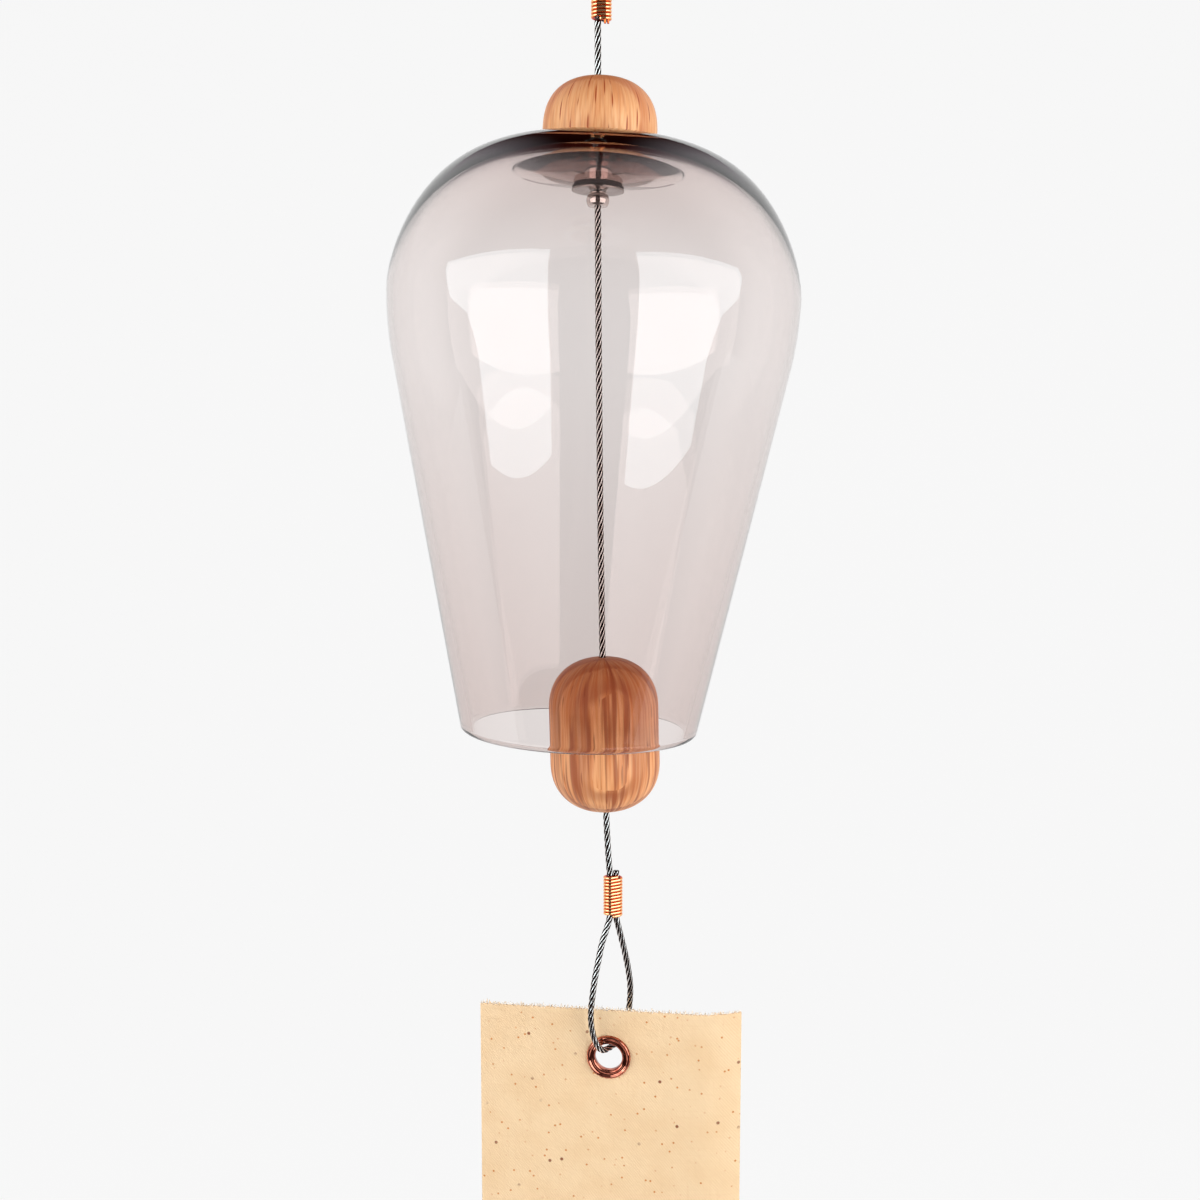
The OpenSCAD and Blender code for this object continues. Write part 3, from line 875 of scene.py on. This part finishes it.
def turnedSteel(name, centre, turn, roughness, colour):
    # fine rings left by the lathe, round the piece's own axis
    f = Finish(name)
    x, y, z = f.split(f.place(centre, turn))
    away = (x * x + y * y).maths("SQRT")
    lines = f.node("ShaderNodeTexNoise", {
        "W": away + z * 0.7, "Scale": 7.0, "Detail": 3.0}, noise_dimensions="1D")
    smudge = f.noise(f.place(), scale=0.7, detail=3)
    tone = f.mix(f.band(smudge, 0.45, 0.75, 0, 0.2), colour, rgb(92, 70, 64))
    return f.finishWith({
        "Base Color": tone, "Metallic": 1.0,
        "Roughness": f.band(smudge, 0.3, 0.7, roughness, roughness + 0.05),
        "Normal": f.bump(lines, 0.00001, 0.4)})


dress(makeRing("corkPadRing"), padFinish(), "bell", "pad", "cap_pad")
dress(makeRing("sealRing"),
      rubberFinish("sealRubber", rgb(30, 18, 20), rgb(66, 50, 52), 0.5),
      "washers", "seal", "seal_washer")
dress(makeRing("rubberRing"),
      rubberFinish("blackRubber", rgb(18, 7, 9), rgb(40, 26, 28), 0.38),
      "washers", "rubber", "rubber_washer")
dress(makeRing("steelRing"),
      turnedSteel("washerSteel", spot("stop", "pivot"), (0, bellLean, 0), 0.16,
                  rgb(160, 148, 144)), "washers", "steel", "steel_washer")

stop = {"collar": 2.1, "collarTall": 0.6, "edge": 0.15, "ball": 2.8, "tall": 3.3, "steps": 20,
        "bore": 0.85, "spin": 96}


def makeStop():
    foot, top = level["ballFoot"], level["pivot"]
    tall, collar, edge = stop["tall"], stop["collar"], stop["edge"]
    outline = [(stop["bore"], foot)]
    for i in range(stop["steps"]):
        z = -tall / 2 + tall * i / stop["steps"]
        outline.append((sqrt(stop["ball"] ** 2 - z * z), foot + tall / 2 + z))
    outline += [(collar - edge, foot + tall - 0.04), (collar, top - stop["collarTall"] + edge),
                (collar, top - edge), (collar - edge, top), (stop["bore"], top)]
    piece = turned("ballStopTurned", outline, stop["spin"], smooth=30)
    at = acrossAt["stop"], 0, 0
    settle(piece, metres(at))
    dress(piece, turnedSteel("stopSteel", at, (0, 0, 0), 0.03, rgb(214, 202, 197)),
          "stop", "stop_steel", "ball_stop")


makeStop()
print("stop and washers turned")

# sail
sail = {
    "wide": 67, "tall": 150, "thick": 0.5, "yaw": 8, "eyeletDrop": 12.3,
    "curl": 3.6, "curlWide": 11, "curlLeft": 0.4, "fold": 3, "foldWaves": 0.9,
    "cell": 1.0, "holeR": 4.6, "clear": 11.3,  # flat round the eyelet
    "pucker": 0.3, "puckerAt": 8, "puckerWide": 3, "puckers": 3, "puckerTurn": 0.6,
    "ribs": (0.8, 8.4),  # twill: slant and count
    "relief": 0.00005,  # metres
    "thread": rgb(250, 220, 178),
    "shade": rgb(240, 204, 158),
    "fray": rgb(255, 248, 236),
    # seed specks and larger husks: cells to a millimetre, edge from and to, colour
    "dots": [(0.3, 0.05, 0.11, rgb(206, 122, 34)), (0.1, 0.03, 0.052, rgb(128, 52, 4))],
}


def clothDepth(u, v):
    # how far the cloth stands back: the rolled corner and the soft folds below
    c = max(0, (u - sail["wide"] / 2 + sail["curlWide"]) / sail["curlWide"])
    curl = sail["curl"] * c * c * (1 - (1 - sail["curlLeft"]) * v / sail["tall"])
    clearV = sail["eyeletDrop"] + sail["clear"]
    s = max(0, (v - clearV) / (sail["tall"] - clearV))
    fold = sail["fold"] * s * s * sin(tau * sail["foldWaves"] * u / sail["wide"])
    return curl + fold


def clothPlace(u, v, lift=0):
    # a point of the cloth, u across from the middle, v down from the top
    turn = -radians(sail["yaw"])
    depth = clothDepth(u, v) + lift
    return Vector((acrossAt["sail"] + u * cos(turn) - depth * sin(turn),
                   u * sin(turn) + depth * cos(turn), level["sailTop"] - v))


def puckerAt(u, v):
    down = v - sail["eyeletDrop"]
    ring = (hypot(u, down) - sail["puckerAt"]) / sail["puckerWide"]
    wave = sin(sail["puckers"] * atan2(down, u) + sail["puckerTurn"])
    return sail["pucker"] * exp(-ring ** 2) * wave


def cottonFinish():
    f = Finish("unbleachedCotton")
    at = f.uv((sail["wide"], sail["tall"], 1))
    x, y, z = f.split(at)
    slub = f.noise(f.stretch(at, (0.12, 1.6, 1)))
    warp = f.noise(f.stretch(at, (1.6, 0.12, 1)))
    cloud = f.noise(at, scale=0.09)
    slant, ribs = sail["ribs"]
    twill = ((x + y * slant) * ribs).maths("SINE")
    tone = sail["thread"]
    for weave, low, high, share in ((cloud, 0.35, 0.7, 0.5), (slub, 0.5, 0.8, 0.35),
                                    (warp, 0.5, 0.8, 0.35), (twill, 0.0, 1.0, 0.3)):
        tone = f.mix(f.band(weave, low, high, 0, share), tone, sail["shade"])
    for size, low, high, colour in sail["dots"]:
        kept = f.band(f.noise(at, scale=size * 0.8), 0.48, 0.6)
        tone = f.mix(f.band(f.cells(at, size), low, high, 0.9, 0) * kept, tone, colour)
    return f.finishWith({
        "Base Color": tone, "Roughness": 0.85, "Specular IOR Level": 0.2,
        "Sheen Weight": 0.15, "Sheen Roughness": 0.5,
        "Normal": f.bump(twill * 0.5 + slub * 0.4 + warp * 0.4, sail["relief"], 0.6)})


def frayFinish():
    f = Finish("frayedEnds")
    tuft = f.noise(f.place(), scale=1.2)
    return f.finishWith({
        "Base Color": f.mix(f.band(tuft, 0.4, 0.7), sail["fray"], sail["thread"]),
        "Roughness": 0.9, "Specular IOR Level": 0.2})


def makeCloth():
    across, down = round(sail["wide"] / sail["cell"]), round(sail["tall"] / sail["cell"])
    bpy.ops.mesh.primitive_grid_add(x_subdivisions=across, y_subdivisions=down, size=1)
    piece = bpy.context.object
    piece.name = "sailCotton"
    piece.data.uv_layers[0].name = "along"
    mode("EDIT")
    bpy.ops.mesh.select_all(action="DESELECT")
    mode("OBJECT")
    for face in piece.data.polygons:
        u = face.center.x * sail["wide"]
        v = (0.5 - face.center.y) * sail["tall"]
        face.select = hypot(u, v - sail["eyeletDrop"]) < sail["holeR"]
    for vertex in piece.data.vertices:
        u, v = vertex.co.x * sail["wide"], (0.5 - vertex.co.y) * sail["tall"]
        vertex.co = clothPlace(u, v, puckerAt(u, v)) * mm
    mode("EDIT")
    bpy.ops.mesh.delete(type="FACE")
    mode("OBJECT")
    body = piece.modifiers.new("body", "SOLIDIFY")
    body.thickness = sail["thick"] * mm
    body.offset = 0
    bpy.ops.object.modifier_apply(modifier="body")
    bpy.ops.object.shade_smooth_by_angle(angle=radians(50))
    return piece


fray = {
    "seed": 11, "spacing": (0.17, 0.36), "tall": (0.4, 0.8), "longer": 1.5, "longShare": 0.12,
    "slant": (-0.3, 0.3), "thick": (0.09, 0.15), "tip": 0.6, "root": 0.2,
    "rootDepth": (-0.2, 0.1), "tipDepth": (-0.35, 0.35), "sides": 5,
}


def makeFringe():
    # short frayed ends along the cut top edge, each two tapered lengths
    pick = random.Random(fray["seed"])
    sides = fray["sides"]
    points, faces, faceUvs = [], [], []
    u = -sail["wide"] / 2
    while u < sail["wide"] / 2:
        tall = pick.uniform(*fray["tall"]) * (
            fray["longer"] if pick.random() < fray["longShare"] else 1)
        slant = pick.uniform(*fray["slant"])
        thick = pick.uniform(*fray["thick"])
        first = clothPlace(u, fray["root"], pick.uniform(*fray["rootDepth"]))
        last = clothPlace(u + slant, -tall, pick.uniform(*fray["tipDepth"]))
        middle = first.lerp(last, 0.5) + Vector((slant * 0.3, 0, 0.1))
        base = len(points)
        for place, size in ((first, thick), (middle, thick), (last, thick * fray["tip"])):
            for k in range(sides):
                a = tau * k / sides
                around = Vector((size * cos(a), size * sin(a), 0))
                points.append((place + around) * mm)
        for j in range(2):
            ring = base + j * sides
            for k in range(sides):
                n = (k + 1) % sides
                faces.append((ring + k, ring + n, ring + sides + n, ring + sides + k))
                faceUvs += [(0.1 * k, j), (0.1 * n, j), (0.1 * n, j + 1), (0.1 * k, j + 1)]
        faces.append(tuple(base + 2 * sides + k for k in range(sides)))
        faces.append(tuple(base + sides - 1 - k for k in range(sides)))
        faceUvs += [(0, 0)] * 2 * sides
        u += pick.uniform(*fray["spacing"])
    return addMesh("sailFringe", points, faces, faceUvs)


cloth = makeCloth()
dress(cloth, cottonFinish(), "sail", "cotton", "sail_cloth")
fringe = makeFringe()
dress(fringe, frayFinish(), "sail", "cotton")
sail["wide"] * mm
sail["tall"] * mm
print("sail cut")

# eyelet
eyelet = {
    "outer": 5.65, "bore": 3.45, "sheet": 0.35, "front": 0.3,
    "roll": 0.7, "back": 0.3, "washer": 5.4, "gap": 0.05, "bevel": 0.08,
    "spin": 128,
    # radii, and level over the front: the flange's round edge, then its dished inside
    "edge": {"middle": (5.15, 0.15), "reach": (0.5, 0.75), "steps": 12, "upTo": 10},
    "dish": [(4.62, 0.62), (4.42, 0.6), (4.26, 0.66), (4.1, 0.72), (3.9, 0.7), (3.7, 0.6),
             (3.55, 0.42), (3.48, 0.2), (3.45, -0.1)],
    "copper": rgb(214, 132, 108),
    "patina": rgb(134, 60, 46),
}


def eyeletFinish():
    f = Finish("eyeletCopper")
    blotch = f.noise(f.place(), scale=0.55, detail=4, roughness=0.6)
    tone = f.mix(f.band(blotch, 0.35, 0.7), eyelet["copper"], eyelet["patina"])
    return f.finishWith({
        "Base Color": tone, "Metallic": 1.0,
        "Roughness": f.band(blotch, 0.3, 0.7, 0.06, 0.1),
        "Normal": f.bump(blotch, 0.00002, 0.2)})


def onCloth(piece):
    settle(piece, metres(spot("sail", "eyelet")), (pi / 2, 0, -radians(sail["yaw"])))


def makeEyelet():
    e, edge = eyelet, eyelet["edge"]
    bore, front, thick = e["bore"], e["front"], e["sheet"]
    rollAt, barrel = -(e["back"] + thick + e["gap"]), bore + thick
    rolled = barrel + e["roll"]
    middle, reach = edge["middle"], edge["reach"]
    turns = [pi * k / edge["steps"] for k in range(1, edge["upTo"])]
    outline = [(e["outer"], front)]
    outline += [(middle[0] + reach[0] * cos(a), front + middle[1] + reach[1] * sin(a))
                for a in turns]
    outline += [(r, front + z) for r, z in e["dish"]]
    outline += [(bore, rollAt), (bore + 0.08, rollAt - 0.2), (bore + 0.25, rollAt - thick),
                (rolled - 0.12, rollAt - thick), (rolled, rollAt - thick / 2),
                (rolled - 0.1, rollAt), (barrel, rollAt), (barrel, front)]
    piece = turned("eyeletSpun", outline, e["spin"], smooth=50)
    onCloth(piece)
    return piece


def makeEyeletWasher():
    e = eyelet
    outline = ringOutline(e["bore"] + e["sheet"] + e["gap"], e["washer"],
                          -e["back"] - e["sheet"], -e["back"])
    piece = turned("eyeletBackRing", outline, e["spin"], e["bevel"])
    onCloth(piece)
    return piece


copper = eyeletFinish()
dress(makeEyelet(), copper, "sail", "copper", "eyelet")
dress(makeEyeletWasher(), copper, "sail", "copper", "eyelet_washer")
print("eyelet spun")

# floor, backdrop and lamps
studio = {
    "floor": -0.62, "back": 1.3, "near": -0.35, "half": 2.2, "curve": 0.5, "curveSteps": 16,
    "tall": 0.75,
    "shown": 0.955,  # how bright the backdrop looks
    "glowShare": 0.95,  # how much of that is its own, not the lamps'
    "surface": (0.86, 0.86, 0.86, 1),
    "front": 0.16,  # dim room on the camera's side, darker still below
    "low": 0.03,
    "within": 0.035,  # the same room in what shines inside the glass
    "gloom": (0.02, 0, 0, 1),
    "sides": 1.0,  # pale walls beside and behind
    "ceiling": (0.04, 0.005, 0.003, 1),  # dark wood above the backdrop
    "corners": (0.7, 0.62, 0.68, 1),
}


def makeStage():
    s = studio
    points = [(s["near"], s["floor"]), (s["back"] - s["curve"], s["floor"])]
    turns = [pi / 2 * i / s["curveSteps"] for i in range(1, s["curveSteps"] + 1)]
    points += [(s["back"] - s["curve"] + s["curve"] * sin(t),
                s["floor"] + s["curve"] * (1 - cos(t))) for t in turns]
    points.append((s["back"], s["tall"]))
    piece = drawLine("sweepBackdrop", [(-s["half"], y, z) for y, z in points])
    bpy.ops.mesh.extrude_region_move(TRANSFORM_OT_translate={"value": (2 * s["half"], 0, 0)})
    bpy.ops.mesh.select_all(action="SELECT")
    bpy.ops.mesh.normals_make_consistent(inside=False)
    mode("OBJECT")
    bpy.ops.object.shade_smooth()
    f = Finish("paperSweep")
    seen = f.ray("Is Camera Ray") + f.ray("Is Glossy Ray") + f.ray("Is Transmission Ray")
    matt = f.node("ShaderNodeBsdfDiffuse", {"Color": s["surface"]})
    glow = f.node("ShaderNodeEmission", {
        "Color": (s["shown"], s["shown"], s["shown"], 1), "Strength": 1.0})
    share = (seen * s["glowShare"]).maths("MINIMUM", s["glowShare"])
    f.close(f.node("ShaderNodeMixShader", {0: share, 1: matt, 2: glow}))
    piece.data.materials.append(f.owner)


makeStage()

softBoxes = {
    "leftBox": {"facing": -31, "low": -0.405, "high": 0.27, "power": 0.88,
                "shape": (0.53, 0.55, 0.57, 0.62, 0.88, 0.95, 1, 1, 1)},
    "rightBox": {"facing": 31, "low": -0.45, "high": 0.25, "power": 1.13,
                 "shape": (0.55, 0.57, 0.6, 0.66, 0.92, 0.98, 1, 1, 1)},
}
bothBoxes = {
    "away": 0.72, "near": -0.1, "far": 0.96, "glow": 2.8,
    "rows": 8,  # shape gives the card's width at each row, from its foot up
    "slope": 0.03,  # how far the card's foot drops at its straight side
}
# over each lamp: a card of that shape for polished outsides, a plain one through the glass
cards = {
    "Card": {"more": (0.35, 0.85, 1.0), "before": 0.004},
    "Inside": {"more": (-0.6, -0.7, -0.72), "before": 0.002},
}


def hangLamp(name, spec):
    # an upright panel that faces the bell, reaching from near to far sideways
    b = bothBoxes
    turn = radians(spec["facing"])
    outward = 1 if turn > 0 else -1
    out = Vector((sin(turn), -cos(turn), 0))
    side = Vector((cos(turn), sin(turn), 0)) * outward
    wide, tall = b["far"] - b["near"], spec["high"] - spec["low"]
    place = out * b["away"] + side * (b["near"] + wide / 2)
    place.z = (spec["high"] + spec["low"]) / 2
    bpy.ops.object.light_add(type="AREA", location=place)
    lamp = bpy.context.object
    lamp.name = name
    lamp.rotation_euler = out.to_track_quat("Z", "Y").to_euler()
    lamp.data.shape = "RECTANGLE"
    lamp.data.size, lamp.data.size_y = wide, tall
    lamp.data.energy = spec["power"] * b["glow"] * pi * wide * tall
    lamp.visible_transmission = lamp.visible_glossy = False
    for suffix, kind in cards.items():
        bpy.ops.mesh.primitive_grid_add(x_subdivisions=1, y_subdivisions=b["rows"], size=1)
        card = bpy.context.object
        card.name = name + suffix
        for corner in card.data.vertices:
            row = round((corner.co.y + 0.5) * b["rows"])
            share = 0.5 + corner.co.x * outward
            if suffix == "Card":
                share *= spec["shape"][row]
            corner.co.x = (share - 0.5) * outward
            if row == 0:
                corner.co.y -= b["slope"] * (1 - share)
        card.scale = (wide, tall, 1)
        card.rotation_euler = lamp.rotation_euler
        card.location = lamp.location - out * kind["before"]
        bpy.ops.object.transform_apply(location=True, rotation=True, scale=True)
        card.visible_camera = card.visible_diffuse = card.visible_shadow = False
        card.visible_glossy = suffix == "Card"
        card.visible_transmission = suffix == "Inside"
        f = Finish(card.name)
        f.close(f.node("ShaderNodeEmission", {
            "Color": (*(b["glow"] + more for more in kind["more"]), 1), "Strength": 1}))
        card.data.materials.append(f.owner)


for name, spec in softBoxes.items():
    hangLamp(name, spec)


def lightRoom():
    # pale walls beside and behind, a dim room in front, dark above the backdrop
    s = studio
    f = Finish("dimRoom", bpy.data.worlds)
    bpy.context.scene.world = f.owner
    x, y, z = f.split(f.node("ShaderNodeTexCoord", output="Generated"))
    camera, through = f.ray("Is Camera Ray"), f.ray("Is Transmission Ray")
    seen = camera.maths("MAXIMUM", through) * f.band(f.ray("Glossy Depth"), 0, 1, 1, 0)
    front = f.band(z, -0.25, 0.1, s["low"], s["front"])
    front = f.band(through, 0, 1, front, s["within"])
    front = f.band(seen, 0, 1, front, s["shown"])
    walls = f.mix(f.band(y, -0.35, 0.25, front, s["sides"]), s["gloom"], (1, 1, 1, 1))
    sideways = x.maths("ABSOLUTE")
    above = f.band(z, 0.19, 0.42) * f.band(y, -0.15, 0.15) * f.band(sideways, 0.25, 0.5, 1, 0)
    above = f.band(camera, 0, 1, above, 0)
    upper = f.mix(f.band(sideways, 0.1, 0.42), s["ceiling"], s["corners"])
    sky = f.node("ShaderNodeBackground", {0: f.mix(above, walls, upper), 1: 1})
    f.close(sky, kind="World")


lightRoom()
print("studio lit")
